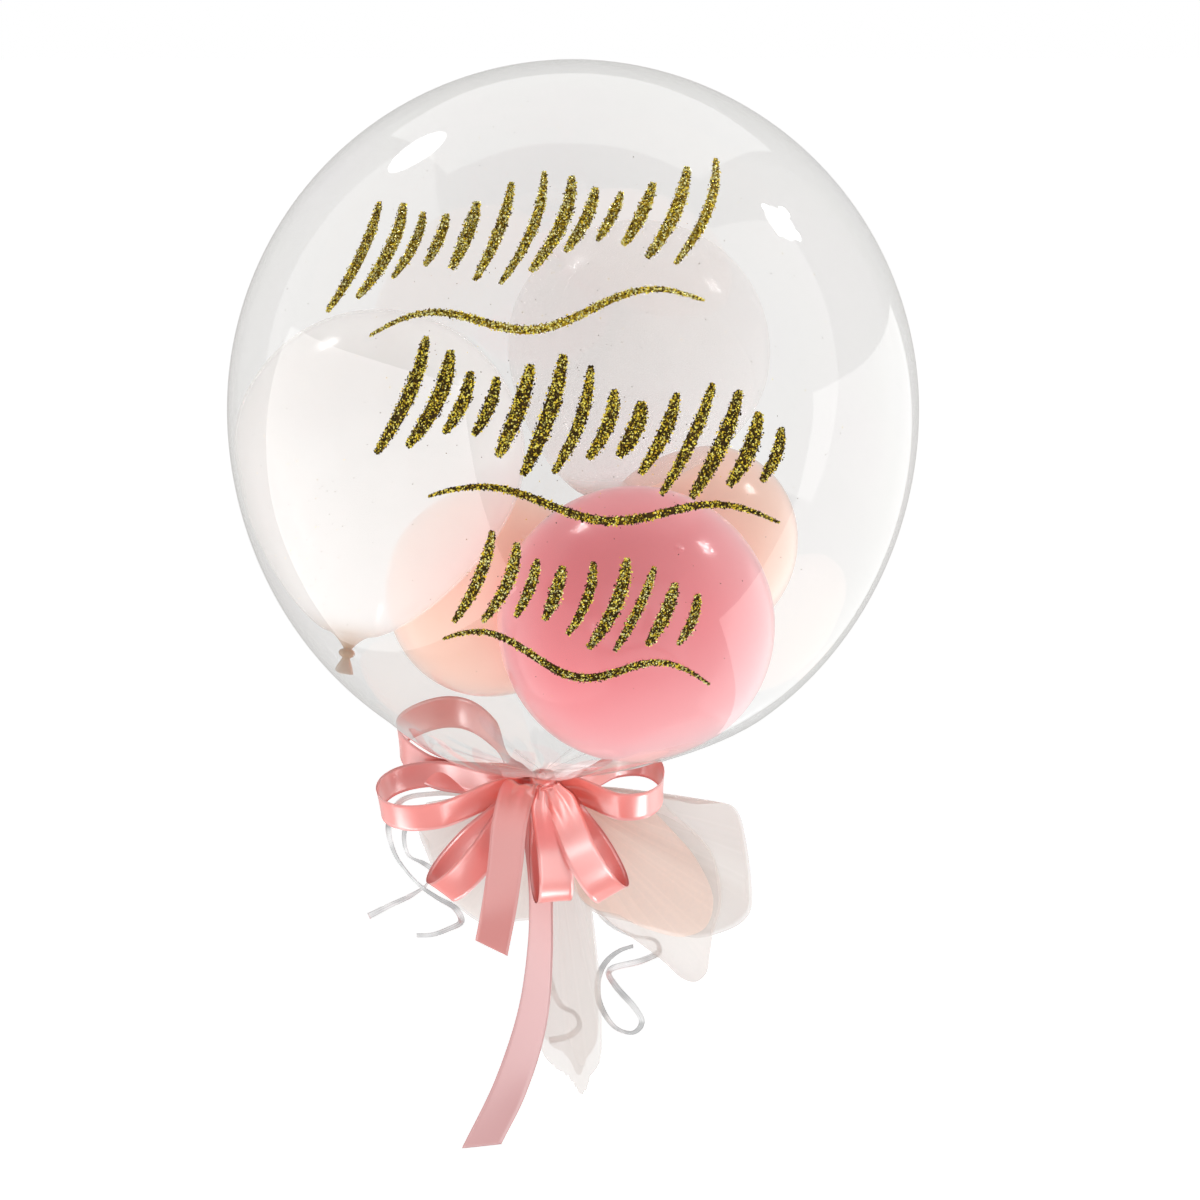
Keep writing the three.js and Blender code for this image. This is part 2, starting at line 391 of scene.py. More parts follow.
def piece(name, points, faces, finish, slot, replaced=(), smooth=True, stored=None, flat_uv=None):
    """A mesh of the object, riding on its one body."""
    mesh = bpy.data.meshes.new(name)
    mesh.from_pydata([tuple(p) for p in points], [], [tuple(f) for f in faces])
    mesh.polygons.foreach_set("use_smooth", [smooth] * len(mesh.polygons))
    for key, values in (stored or {}).items():
        layer = mesh.attributes.new(key, "FLOAT", "POINT")
        layer.data.foreach_set("value", np.asarray(values, np.float32))
    if flat_uv is not None:
        corners = np.empty(len(mesh.loops), int)
        mesh.loops.foreach_get("vertex_index", corners)
        layer = mesh.uv_layers.new(name="flat")
        layer.data.foreach_set("uv", np.asarray(flat_uv, np.float32)[corners].ravel())
    mesh.materials.append(finish)
    mesh.update()
    made = bpy.data.objects.new(name, mesh)
    bpy.context.scene.collection.objects.link(made)
    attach(made, "root")
    if replaced:
        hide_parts(*replaced)
    return made


def grid_faces(rows, columns, closed=False, start=0):
    """Quads over rows x columns points, row after row, closed round each row or not."""
    faces = []
    for i in range(rows - 1):
        for j in range(columns if closed else columns - 1):
            k = (j + 1) % columns
            a, b = start + i * columns, start + (i + 1) * columns
            faces.append((a + j, a + k, b + k, b + j))
    return faces


def turned_points(radii, heights, sides):
    angles = np.arange(sides) / sides * 2 * math.pi
    r = np.asarray(radii, float)[:, None]
    x, y = r * np.cos(angles), r * np.sin(angles)
    z = np.repeat(np.asarray(heights, float)[:, None], sides, 1)
    return np.stack([x, y, z], -1), angles


def spline(points, count):
    """Evenly spaced points on a smooth curve through the given ones."""
    p = np.asarray(points, float)
    p = np.vstack([2 * p[0] - p[1], p, 2 * p[-1] - p[-2]])
    knots = np.concatenate([[0], np.cumsum(np.sqrt(np.linalg.norm(np.diff(p, axis=0), axis=1)))])
    fine = []
    for i in range(1, len(p) - 2):
        p0, p1, p2, p3 = p[i - 1 : i + 3]
        t0, t1, t2, t3 = knots[i - 1 : i + 3]
        t = np.linspace(t1, t2, 24, endpoint=i == len(p) - 3)[:, None]
        a1 = (t1 - t) / (t1 - t0) * p0 + (t - t0) / (t1 - t0) * p1
        a2 = (t2 - t) / (t2 - t1) * p1 + (t - t1) / (t2 - t1) * p2
        a3 = (t3 - t) / (t3 - t2) * p2 + (t - t2) / (t3 - t2) * p3
        b1 = (t2 - t) / (t2 - t0) * a1 + (t - t0) / (t2 - t0) * a2
        b2 = (t3 - t) / (t3 - t1) * a2 + (t - t1) / (t3 - t1) * a3
        fine.append((t2 - t) / (t2 - t1) * b1 + (t - t1) / (t2 - t1) * b2)
    return evenly(np.vstack(fine), count)


def evenly(line, count):
    along = np.concatenate([[0], np.cumsum(np.linalg.norm(np.diff(line, axis=0), axis=1))])
    wanted = np.linspace(0, along[-1], count)
    return np.stack([np.interp(wanted, along, line[:, k]) for k in range(3)], -1)


def length_of(line):
    return float(np.linalg.norm(np.diff(line, axis=0), axis=1).sum())


def ribbon(line, sides, widths, thickness, columns=9, crown=0.0, pinch=None):
    """A thin ribbon along a line. sides are the directions of its width. crown bows it across its
    width, and pinch folds it lengthwise where it is gathered."""
    ahead = unit(np.gradient(line, axis=0))
    side = unit(sides - ahead * np.sum(sides * ahead, -1, keepdims=True))
    face = np.cross(ahead, side)
    u = np.linspace(-1, 1, columns)
    lift = crown * (1 - u[None, :] ** 2) * widths[:, None]
    if pinch is not None:
        lift = lift + pinch[:, None] * np.cos(2.5 * math.pi * u)[None, :]
    middle = line[:, None, :] + side[:, None, :] * (u[None, :, None] * widths[:, None, None] / 2)
    middle = middle + face[:, None, :] * lift[..., None]
    half = face[:, None, :] * thickness / 2
    rows = len(line)
    front, back = (middle + half).reshape(-1, 3), (middle - half).reshape(-1, 3)
    faces = grid_faces(rows, columns)
    total = rows * columns
    faces = [f[::-1] for f in faces] + [tuple(total + k for k in f) for f in faces]
    edge = [i * columns for i in range(rows)]
    edge += [(rows - 1) * columns + j for j in range(1, columns)]
    edge += [i * columns + columns - 1 for i in range(rows - 2, -1, -1)]
    edge += list(range(columns - 2, 0, -1))
    for a, b in zip(edge, edge[1:] + edge[:1]):
        faces.append((a, b, total + b, total + a))
    along = np.concatenate([[0], np.cumsum(np.linalg.norm(np.diff(line, axis=0), axis=1))])
    across = np.repeat(u[None, :] * SATIN_WIDTH / 2, rows, 0)
    uv = np.stack([across, np.repeat(along[:, None], columns, 1)], -1).reshape(-1, 2)
    return np.vstack([front, back]), faces, np.vstack([uv, uv])


# ---------------------------------------------------------------------------------------------------
# Camera


def add_camera():
    camera = bpy.data.objects.new("camera", bpy.data.cameras.new("camera"))
    camera.data.lens = LENS
    camera.data.sensor_width = SENSOR_WIDTH
    camera.data.clip_end = FARTHEST_SEEN
    camera.location = VIEW_TARGET + NEARER * VIEW_DISTANCE
    camera.rotation_euler = (math.pi / 2 - VIEW_TILT, 0, 0)
    bpy.context.scene.collection.objects.link(camera)
    bpy.context.scene.camera = camera


# ---------------------------------------------------------------------------------------------------
# Curling ribbons, routes in millimetres

CURLS = [
    [
        (-5, 28, -31), (-22, 54, -36), (-62, 66, -40), (-102, 64, -38), (-134, 54, -42),
        (-145, 36, -60), (-140, 26, -82), (-129, 16, -97), (-114, 9, -111), (-99, 9, -122),
        (-82, 12, -134), (-77, 9, -145), (-90, 3, -151), (-104, 0, -155), (-118, -2, -155),
    ],
    [
        (0, 29, -39), (-14, 54, -45), (-52, 72, -52), (-96, 74, -54), (-122, 68, -60),
        (-132, 58, -74), (-129, 54, -94), (-115, 68, -108), (-107, 64, -113), (-110, 32, -117),
        (-123, 10, -120), (-142, 2, -127), (-162, -2, -136),
    ],
    [
        (12, 28, -31), (28, 66, -54), (44, 76, -114), (50, 72, -156), (64, 66, -170),
        (84, 64, -179), (104, 66, -184), (108, 60, -192), (92, 44, -196), (60, 34, -203),
        (66, 22, -213), (84, 22, -235), (91, 28, -252), (82, 42, -268), (65, 56, -267),
        (51, 60, -244), (50, 58, -220), (57, 52, -201), (70, 48, -188), (83, 50, -184),
    ],
    [
        (10, 31, -47), (7, 64, -74), (2, 70, -156), (3, 70, -220), (14, 68, -250),
        (28, 68, -259), (32, 68, -271), (23, 68, -281), (3, 68, -286),
    ],
]
CURL_THICKNESS = 0.0003


def add_curls(finish):
    for number, route in enumerate(CURLS, 1):
        line = spline(np.array(route) * MM, 160)
        t = np.linspace(0, 1, len(line))
        ahead = unit(np.gradient(line, axis=0))
        flat = np.cross(ahead, np.array([0.15, 1.0, 0.1]))
        turn = np.cross(ahead, flat)
        angle = 0.1 + 0.5 * np.sin(2 * math.pi * (1.6 * t + 0.2 * number))
        sides = unit(flat) * np.cos(angle)[:, None] + unit(turn) * np.sin(angle)[:, None]
        widths = np.full(len(line), CURL_WIDTH) * lerp(0.5, 1, ease(0, 0.02, t))
        points, faces, uv = ribbon(line, sides, widths, CURL_THICKNESS, 5, crown=0.05)
        name = f"curling_ribbon_{number}_pearl"
        replaced = [f"curling_ribbon_{number}"]
        made = piece(name, points, faces, finish, "foil_ribbon", replaced, flat_uv=uv)


# ---------------------------------------------------------------------------------------------------
# The film bubble

FILM_SIDES = 288
# The pleats: how deep they are, and how far out from the neck they and their white lines reach
PLEAT_DEPTH = 0.0034
PLEAT_REACH = 0.17
PLEAT_LINE_REACH = 0.125


def film_profile():
    """Radii and heights from the end of the neck to the crown."""
    pole = CENTRE.z - BELLY_DROP
    knots = [
        (NECK_FLARE * 1.1, NECK_END),
        (NECK_FLARE * 0.9, NECK_END + 0.003),
        (NECK_RADIUS, NECK_END + 0.009),
        (NECK_RADIUS, -0.004),
        (NECK_RADIUS * 0.95, 0.0),
        (NECK_RADIUS, TIE_HALF),
        (NECK_RADIUS * 1.6, TIE_HALF + 0.002),
        (SHOULDER_RADIUS * 0.5, pole - 0.001),
    ]
    radii, heights = [k[0] for k in knots], [k[1] for k in knots]
    shoulder = math.asin(SHOULDER_RADIUS / BUBBLE_RADIUS)
    for angle in np.linspace(shoulder, math.pi / 2, 54):
        radii.append(BUBBLE_RADIUS * math.sin(angle))
        heights.append(CENTRE.z - BELLY_DROP * math.cos(angle))
    for angle in np.linspace(0, math.pi / 2 - 0.002, 52)[1:]:
        radii.append(max(BUBBLE_RADIUS * math.cos(angle), 1e-4))
        heights.append(CENTRE.z + CROWN_RISE * math.sin(angle))
    return np.array(radii), np.array(heights)


def add_film(finish):
    radii, heights = film_profile()
    points, angles = turned_points(radii, heights, FILM_SIDES)
    above = heights - TIE_HALF
    below = heights < CENTRE.z
    reach = ease(0.0005, 0.004, above) * (1 - ease(0.02, PLEAT_REACH, radii)) * below
    folds = 0.5 * np.cos(9 * angles + 0.4) + 0.3 * np.cos(14 * angles + 2.0) + 0.2 * np.cos(23 * angles)
    depth = reach[:, None] * (PLEAT_DEPTH * folds)[None, :]
    outward = np.stack([np.cos(angles), np.sin(angles)], -1)[None]
    points[..., :2] += outward * depth[..., None]
    points[..., 2] -= 0.6 * depth * ease(0.004, 0.02, above)[:, None]
    points[..., 0] += CENTRE.x * ease(0, OFFSET_RISE, above)[:, None]
    rows, sides = points.shape[:2]
    faces = grid_faces(rows, sides, closed=True)
    top = (rows - 1) * sides
    faces.append(tuple(top + j for j in range(sides)))
    lines = 0.6 * np.cos(17 * angles + 1.0) + 0.4 * np.cos(29 * angles) + 0.35 * np.cos(5 * angles + 2.0)
    lined = 0.25 + 0.75 * np.clip(lines, 0, 1)[None] ** 2
    gathered = ((1 - ease(0.02, PLEAT_LINE_REACH, radii)) * below)[:, None] * lined
    stored = {"gathered": gathered.ravel()}
    piece("bubble_film", points.reshape(-1, 3), faces, finish, "film", ["bubble"], stored=stored)


def add_tie(finish):
    """The elastic that closes the neck: a few turns laid side by side."""
    turns, sides, section, thickness = 3.5, 160, 8, 0.0018
    t = np.linspace(0, 1, sides)
    around = 2 * math.pi * turns * t
    radius = NECK_RADIUS + thickness + 0.0004 * np.sin(3 * around + 1)
    centre = np.stack([radius * np.cos(around), radius * np.sin(around), lerp(-0.0017, 0.0017, t)], -1)
    outward = np.stack([np.cos(around), np.sin(around), 0 * around], -1)
    upward = np.array([0, 0, 1.0])
    spin = np.arange(section) / section * 2 * math.pi
    ring = outward[:, None] * np.cos(spin)[None, :, None] + upward * np.sin(spin)[None, :, None]
    points = (centre[:, None] + ring * thickness / 2).reshape(-1, 3)
    faces = grid_faces(sides, section, closed=True)
    faces += [tuple(range(section)), tuple(range((sides - 1) * section, sides * section))]
    piece("neck_tie_elastic", points, faces, finish, "elastic", ["neck_tie"])


# ---------------------------------------------------------------------------------------------------
# The small balloons inside

# Each one's middle in the view's directions, its radius, where its knot points and how far it is
# drawn out towards the knot
INSIDE = {
    "pink_balloon": ((0.054, -0.189, 0.045), 0.122, (-0.3, -0.55, -0.8), 0.02),
    "peach_balloon_left": ((-0.078, -0.160, -0.105), 0.098, (-0.35, -0.5, -0.8), 0.02),
    "peach_balloon_right": ((0.117, -0.113, -0.120), 0.092, (0.35, -0.5, -0.8), 0.02),
    "pearl_balloon_left": ((-0.170, -0.040, 0.030), 0.128, (-0.16, -0.98, 0.0), 0.035),
    "pearl_balloon_back": ((0.058, 0.058, -0.060), 0.120, (-0.25, -0.9, -0.12), 0.02),
}
# How much of the film's own size the small balloons may fill, and how softly two of them flatten
# against each other
WALL_GAP = 0.985
FLATTENING = 0.004
BALLOON_SIDES = 72
# Painted light: the latex is coloured paler from below and at both sides, where more light falls on
# it and comes through it
LIT_FROM = unit(np.array([0.35, -0.1, -0.9]))
LIT_ACROSS = unit(np.array([0.97, 0.0, 0.25]))


def balloon_profile(radius, taper):
    """Radii, distances from the middle towards the knot, and how near the knot each one is."""
    rows = []
    for angle in np.linspace(0.0008, math.pi * 0.93, 60):
        low = ease(math.pi * 0.45, math.pi, angle)
        r = radius * math.sin(angle) * (1 - 0.16 * low)
        z = -radius * math.cos(angle) + taper * low**1.5
        rows.append((r, z, float(ease(0.84, 1, angle / math.pi))))
    r0, z0, _ = rows[-1]
    for t in np.linspace(0.12, 1, 10):
        rows.append((lerp(r0, 0.0035, t**0.5), z0 + 0.014 * t, lerp(0.55, 1, t)))
    z = rows[-1][1]
    for dr, dz in [(0.0062, 0.0015), (0.0072, 0.004), (0.0060, 0.0065), (0.0034, 0.008)]:
        rows.append((dr, z + dz, 1.0))
    for dr, dz in [(0.0045, 0.011), (0.0065, 0.015), (0.0082, 0.020), (0.0088, 0.021), (0.0080, 0.022)]:
        rows.append((dr, z + dz, 0.9))
    return [np.array(column) for column in zip(*rows)]


def flattened(p, middle, radius, other, other_radius):
    """A balloon's points, pressed flat where it meets another."""
    apart = other - middle
    distance = np.linalg.norm(apart)
    if distance >= radius + other_radius:
        return p
    towards = apart / distance
    meet = (distance + radius - other_radius) / 2 - 0.0005
    past = (p - middle) @ towards - meet
    over = FLATTENING * np.log1p(np.exp(np.clip(past / FLATTENING, -40, 40)))
    lateral = np.linalg.norm((p - middle) - ((p - middle) @ towards)[:, None] * towards, axis=1)
    return p - (over * (lateral < other_radius))[:, None] * towards


def kept_inside(p):
    """Points brought in from the film to just inside it."""
    offset = p - np.array(CENTRE)
    girth = np.full(len(p), BUBBLE_RADIUS)
    wall = np.stack([girth, girth, np.where(offset[:, 2] > 0, CROWN_RISE, BELLY_DROP)], -1)
    size = np.linalg.norm(offset / wall, axis=1)
    return np.array(CENTRE) + offset * np.minimum(1, WALL_GAP / size)[:, None]


def add_inside(finishes):
    spheres = {name: (np.array(facing(*at)), radius) for name, (at, radius, _, _) in INSIDE.items()}
    for name, (_, radius, (right, up, out), taper) in INSIDE.items():
        middle = spheres[name][0]
        radii, along, near = balloon_profile(radius, taper)
        points, angles = turned_points(radii, along, BALLOON_SIDES)
        wobble = 1 + 0.05 * near[:, None] * np.cos(5 * angles + 1)[None]
        points[..., :2] *= wobble[..., None]
        axis = unit(np.array(ACROSS * right + UPWARD * up + NEARER * out))
        first = unit(np.cross(axis, [0.3, 0.1, 0.9]))
        second = np.cross(axis, first)
        p = middle + points[..., :1] * first + points[..., 1:2] * second + points[..., 2:] * axis
        p = p.reshape(-1, 3)
        for other, sphere in spheres.items():
            if other != name:
                p = flattened(p, middle, radius, *sphere)
        p = kept_inside(p)
        rows = len(radii)
        faces = grid_faces(rows, BALLOON_SIDES, closed=True)
        faces.append(tuple(range(BALLOON_SIDES)))
        faces.append(tuple(range((rows - 1) * BALLOON_SIDES, rows * BALLOON_SIDES)))
        # Painted light: the lit share, high low down and at both sides of each balloon, is where the
        # latex is painted paler
        rim = np.abs((p - middle) @ LIT_ACROSS) / radius
        low = (p - middle) @ LIT_FROM / radius
        lit = np.clip(0.9 * ease(-0.1, 1.0, low) + 0.5 * ease(0.45, 1.0, rim), 0, 1)
        stored = {"neck": np.repeat(near, BALLOON_SIDES), "lit": lit}
        piece(name, p, faces, *finishes[name], stored=stored)


# ---------------------------------------------------------------------------------------------------
# The satin bow, in millimetres and degrees

# Each loop: where it leaves the knot, the way it heads and how steeply, how far it reaches, how wide
# it opens and how that opening is turned, and how far its end is lifted
LOOPS = [
    dict(root=(-9, 8, -11), heading=141, pitch=0, reach=148, spread=97, roll=-82, lift=33),
    dict(root=(-12, -1, -11), heading=179, pitch=-6, reach=140, spread=56, roll=-64, lift=0),
    dict(root=(-11, -7, -11), heading=188, pitch=-48, reach=128, spread=32, roll=-76, lift=0),
    dict(root=(12, -1, -13), heading=3, pitch=0, reach=98, spread=60, roll=66, lift=3),
    dict(root=(7, -11, -9), heading=334, pitch=-56, reach=113, spread=40, roll=102, lift=0),
    dict(root=(3, -9, -11), heading=285, pitch=-78, reach=104, spread=36, roll=180, lift=0),
]
# Each tail: its route, how far its cut end slants, and the way its width faces at the start, a third
# of the way along and at the end
TAILS = [
    dict(
        route=[
            (-5, -12, -8), (-20, -24, -6), (-29, -38, -29),
            (-34, -46, -72), (-40, -50, -113), (-47, -50, -150),
        ],
        slant=11,
        facing=(0, 0, 8),
    ),
    dict(
        route=[
            (-3, -12, -8), (-3, -14, -28), (-3, -8, -62), (-3, 2, -104),
            (-4, 8, -173), (-12, 6, -240), (-33, 3, -308), (-60, 0, -365),
        ],
        slant=-20,
        facing=(0, -46, 0),
    ),
]
# Half the space between a loop's two ends, and the share of its reach in which it comes to open
ROOT_GAP = 0.002
STEM = 0.6
TAIL_COLUMNS = 9


def gathered_width(far):
    return SATIN_WIDTH * lerp(0.6, 1, ease(0, 0.018, far))


def loop_ribbon(root, heading, pitch, reach, spread, roll, lift):
    h, p, r = (math.radians(v) for v in (heading, pitch, roll))
    out = np.array([math.cos(p) * math.cos(h), math.cos(p) * math.sin(h), math.sin(p)])
    level = np.array([-math.sin(h), math.cos(h), 0])
    above = np.cross(out, level)
    opening = above * math.cos(r) + level * math.sin(r)
    t = np.linspace(0, 1, 400)
    far = np.sin(math.pi * t)
    apart = spread * MM / 2 * np.sin(2 * math.pi * t) * ease(0, STEM, far) + ROOT_GAP * (1 - 2 * t)
    line = np.array(root) * MM + out * (reach * MM * far)[:, None] + opening * apart[:, None]
    line = line + np.array([0, 0, 1]) * (lift * MM * ease(0, 1, far) ** 2)[:, None]
    line = evenly(line, 120)
    far = (line - line[0]) @ out
    sides = np.tile(np.cross(out, opening), (len(line), 1))
    pinch = 0.0016 * (1 - ease(0.004, 0.05, far))
    return line, sides, gathered_width(far), pinch


def tail_ribbon(route, facing):
    line = spline(np.array(route) * MM, 150)
    t = np.linspace(0, 1, len(line))
    first, middle, last = (math.radians(v) for v in facing)
    angle = lerp(lerp(first, middle, ease(0, 1 / 3, t)), last, ease(1 / 3, 1, t))
    sides = np.stack([np.cos(angle), np.sin(angle), 0 * t], -1)
    far = t * length_of(line)
    return line, sides, gathered_width(far), 0.0014 * (1 - ease(0.004, 0.06, far))


def satin_piece(name, points, faces, uv, finish, line, thin):
    """A ribbon painted deepest in colour at the knot, as shade and light bounced between the loops, and,
    on a tail, painted paler towards its end, where more light falls on it and comes through it.
    """
    from_knot = np.linalg.norm(line - line[0], axis=1)
    # The share of the painted shade and bounced light, high at the knot
    deep = 0.8 * (1 - ease(0.012, 0.065, from_knot))
    # Painted light: paler towards a tail's end, by the share thin
    paler = thin * ease(0.06, 0.2, from_knot)
    columns = len(points) // (2 * len(line))
    stored = {
        "deep": np.tile(np.repeat(deep, columns), 2),
        "thin": np.tile(np.repeat(paler, columns), 2),
    }
    return piece(name, points, faces, finish, "satin", ["satin_bow"], stored=stored, flat_uv=uv)


def add_satin(finish):
    for number, loop in enumerate(LOOPS, 1):
        line, sides, widths, pinch = loop_ribbon(**loop)
        points, faces, uv = ribbon(line, sides, widths, SATIN_THICKNESS, crown=0.012, pinch=pinch)
        made = satin_piece(f"satin_loop_{number}", points, faces, uv, finish, line, 0)
    # Only the long tail gets the painted light towards its end
    for name, thin, tail in zip(("short", "long"), (0.0, 1.0), TAILS):
        line, sides, widths, pinch = tail_ribbon(tail["route"], tail["facing"])
        points, faces, uv = ribbon(
            line, sides, widths, SATIN_THICKNESS, TAIL_COLUMNS, crown=0.01, pinch=pinch
        )
        t = np.repeat(np.linspace(0, 1, len(line)), TAIL_COLUMNS)
        across = np.tile(np.linspace(-0.5, 0.5, TAIL_COLUMNS), len(line))
        shift = tail["slant"] * MM * across * ease(0.8, 1, t)
        end = unit(line[-1] - line[-4])
        points = points + end * np.tile(shift, 2)[:, None]
        made = satin_piece(f"satin_tail_{name}", points, faces, uv, finish, line, thin)


KNOT_SIDES = 96


def wrap(rows, low, high, radius, swelling, roundness, crease, turns, sway, lobes):
    """A band wound round the neck from low to high, which swells between its ends and is creased
    where it is pulled tight."""
    t = np.linspace(0, 1, rows)
    heights = lerp(low, high, t)
    swell = np.sin(math.pi * t) ** roundness
    points, angles = turned_points(radius + swelling * swell, heights, KNOT_SIDES)
    depth = crease * np.cos(turns * t[:, None] + sway * np.sin(lobes * angles)[None]) * swell[:, None]
    points[..., :2] += np.stack([np.cos(angles), np.sin(angles)], -1)[None] * depth[..., None]
    faces = grid_faces(rows, KNOT_SIDES, closed=True)
    faces.append(tuple(range(KNOT_SIDES))[::-1])
    faces.append(tuple(range((rows - 1) * KNOT_SIDES, rows * KNOT_SIDES)))
    return points.reshape(-1, 3), faces, heights, angles


def add_satin_knot(finish):
    """The wrap of ribbon round the neck that the loops come out of."""
    rows = 40
    points, faces, heights, angles = wrap(
        rows, -0.0165, -0.003, 0.0085, 0.0055, 0.45, crease=0.0006, turns=16, sway=3, lobes=2
    )
    uv = np.stack([np.tile(angles * 0.012, rows), np.repeat(heights, KNOT_SIDES)], -1)
    # The knot has the painted shade and bounced light all over, and none of a tail's painted light
    stored = {"deep": np.full(len(points), 0.8), "thin": np.zeros(len(points))}
    piece("satin_knot", points, faces, finish, "satin", ["satin_bow"], stored=stored, flat_uv=uv)


# ---------------------------------------------------------------------------------------------------
# Tulle: each layer is a fan of net from the knot, with folds that run out from the knot

TULLE_ROOT = np.array([0.004, 0.010, -0.021])
TULLE_BACK = 0.036
FAN_STEPS = 132
FAN_ROWS = 40

# The layers' edges: directions in degrees and lengths in millimetres
POUF_EDGE = [
    (-7.5, 108), (-8.9, 138), (-7.5, 170), (-10, 180), (-15.6, 190), (-28, 215), (-34, 228),
    (-38, 227), (-44, 216), (-48, 206), (-56, 173), (-64, 150), (-72, 134), (-76, 118),
]
POUF_FOLD_EDGE = [
    (-12, 90), (-21.6, 121), (-30, 163), (-37, 193), (-44, 205), (-50, 199), (-57, 173),
    (-65, 146), (-73, 126), (-78, 108),
]
POUF_TIP_EDGE = [
    (-12, 110), (-24, 165), (-36, 200), (-44, 214), (-48, 226), (-52, 240), (-55, 241), (-57, 232),
    (-59, 206), (-63, 172), (-68, 146), (-75, 120),
]
LEFT_EDGE = [
    (190, 116), (196, 129), (203, 132), (211, 134), (220, 140), (233, 149), (246, 152), (262, 138),
]
TAIL_EDGE = [
    (-72, 128), (-73, 142), (-77, 216), (-80.5, 285), (-82.5, 298), (-84.5, 316), (-86.5, 296),
    (-89, 284), (-91.5, 268), (-92, 180), (-93, 118),
]
# Each layer: its edge, how many soft folds run out from the knot, how far they stand out, how far the
# middle puffs forward of the edge, its seed, the share of the edge's length it is cut to and how
# ragged its tip is
TULLE_LAYERS = {
    "tulle_right_front": (POUF_FOLD_EDGE, 3.2, 0.0022, 0.014, 3, 1.0, 0.0),
    "tulle_right_middle": (POUF_EDGE, 3.6, 0.0024, -0.005, 5, 1.0, 0.0),
    "tulle_right_back": (POUF_EDGE, 2.8, 0.0028, -0.013, 8, 0.985, 0.0),
    "tulle_right_tip": (POUF_TIP_EDGE, 2.5, 0.0028, -0.019, 9, 1.0, 0.0),
    "tulle_left_front": (LEFT_EDGE, 2.6, 0.0030, 0.008, 11, 0.98, 0.0),
    "tulle_left_back": (LEFT_EDGE, 2.2, 0.0030, -0.006, 12, 1.0, 0.0),
    "tulle_tail_front": (TAIL_EDGE, 2.4, 0.0022, 0.002, 15, 1.0, 0.010),
    "tulle_tail_back": (TAIL_EDGE, 1.7, 0.0018, -0.002, 17, 0.93, 0.008),
}


def fan(edge, folds, depth, bulge, seed, cut, ragged):
    """A gathered sheet of net: its points and faces, its flat size, and how dense it is at each point."""
    draw = np.random.default_rng(seed)
    edge = np.array(edge, float)
    turn = np.radians(edge[:, 0])
    flat = np.stack([edge[:, 1] * np.cos(turn), 0 * turn, edge[:, 1] * np.sin(turn)], -1)
    rim = spline(flat * MM * cut, FAN_STEPS)
    s = np.linspace(0, 1, FAN_STEPS)
    longest = np.linalg.norm(rim, axis=1).max()
    tattered = ease(0.8, 1, np.linalg.norm(rim, axis=1) / longest)
    rim = rim * (1 - ragged * tattered * np.abs(draw.normal(size=FAN_STEPS)))[:, None]
    out = np.linspace(0.03, 1, FAN_ROWS)[:, None]
    far = out * np.linalg.norm(rim, axis=1)[None]
    first, second, third = draw.uniform(0, 2 * math.pi, 3)
    wave = 0.6 * np.cos(2 * math.pi * folds * s + first)
    wave = wave + 0.3 * np.cos(2 * math.pi * (folds * 1.7) * s + second)
    wave = wave[None] + 0.22 * np.cos(2 * math.pi * (2.2 * s[None] + 1.3 * out) + third)
    puff = np.sqrt(np.clip(1 - out**2, 0, 1)) * np.sin(math.pi * s)[None] ** 0.5
    y = lerp(0, TULLE_BACK, ease(0, 0.045, far)) + depth * ease(0.01, 0.09, far) * wave
    y = y - bulge * puff * ease(0.02, 0.07, far)
    points = TULLE_ROOT + out[..., None] * rim[None]
    points[..., 1] += y
    along = float(np.linalg.norm(np.diff(points, axis=0), axis=-1).sum(0).mean())
    rising, falling = points[1:, 1:] - points[:-1, :-1], points[1:, :-1] - points[:-1, 1:]
    area = np.linalg.norm(np.cross(rising, falling), axis=-1).sum() / 2
    creases = np.clip(np.cos(2 * math.pi * (folds * 2.3 * s[None] + 0.25 * out) + second), 0, 1) ** 9
    creases = creases + np.clip(np.cos(2 * math.pi * folds * 4.1 * s + third), 0, 1)[None] ** 14
    dense = 0.9 * (1 - ease(0.01, 0.13, far)) + 0.3 * np.clip(wave, 0, 1) ** 2
    dense = np.clip(dense + 0.16 * creases * (1 - 0.5 * out), 0, 1)
    flat_size = (float(area) / along, along)
    return points.reshape(-1, 3), grid_faces(FAN_ROWS, FAN_STEPS), flat_size, dense.ravel()


def add_tulle(blush, pale, shaded):
    finishes = [blush, pale, pale, shaded, shaded, pale, pale, pale]
    for (name, layer), finish in zip(TULLE_LAYERS.items(), finishes):
        points, faces, flat, dense = fan(*layer)
        made = piece(name, points, faces, finish, "tulle", ["tulle_bow"], stored={"dense": dense})


def add_tulle_knot(finish):
    points, faces, _, _ = wrap(
        36, -0.027, -0.0168, 0.0076, 0.0030, 0.5, crease=0.0005, turns=21, sway=2, lobes=3
    )
    stored = {"dense": np.ones(len(points))}
    piece("tulle_knot", points, faces, finish, "tulle", ["tulle_bow"], stored=stored)


# ---------------------------------------------------------------------------------------------------
# Gold glitter on the film: three rows of strokes that aren't letters, and stray flecks

FILM_PROUD = 0.0006


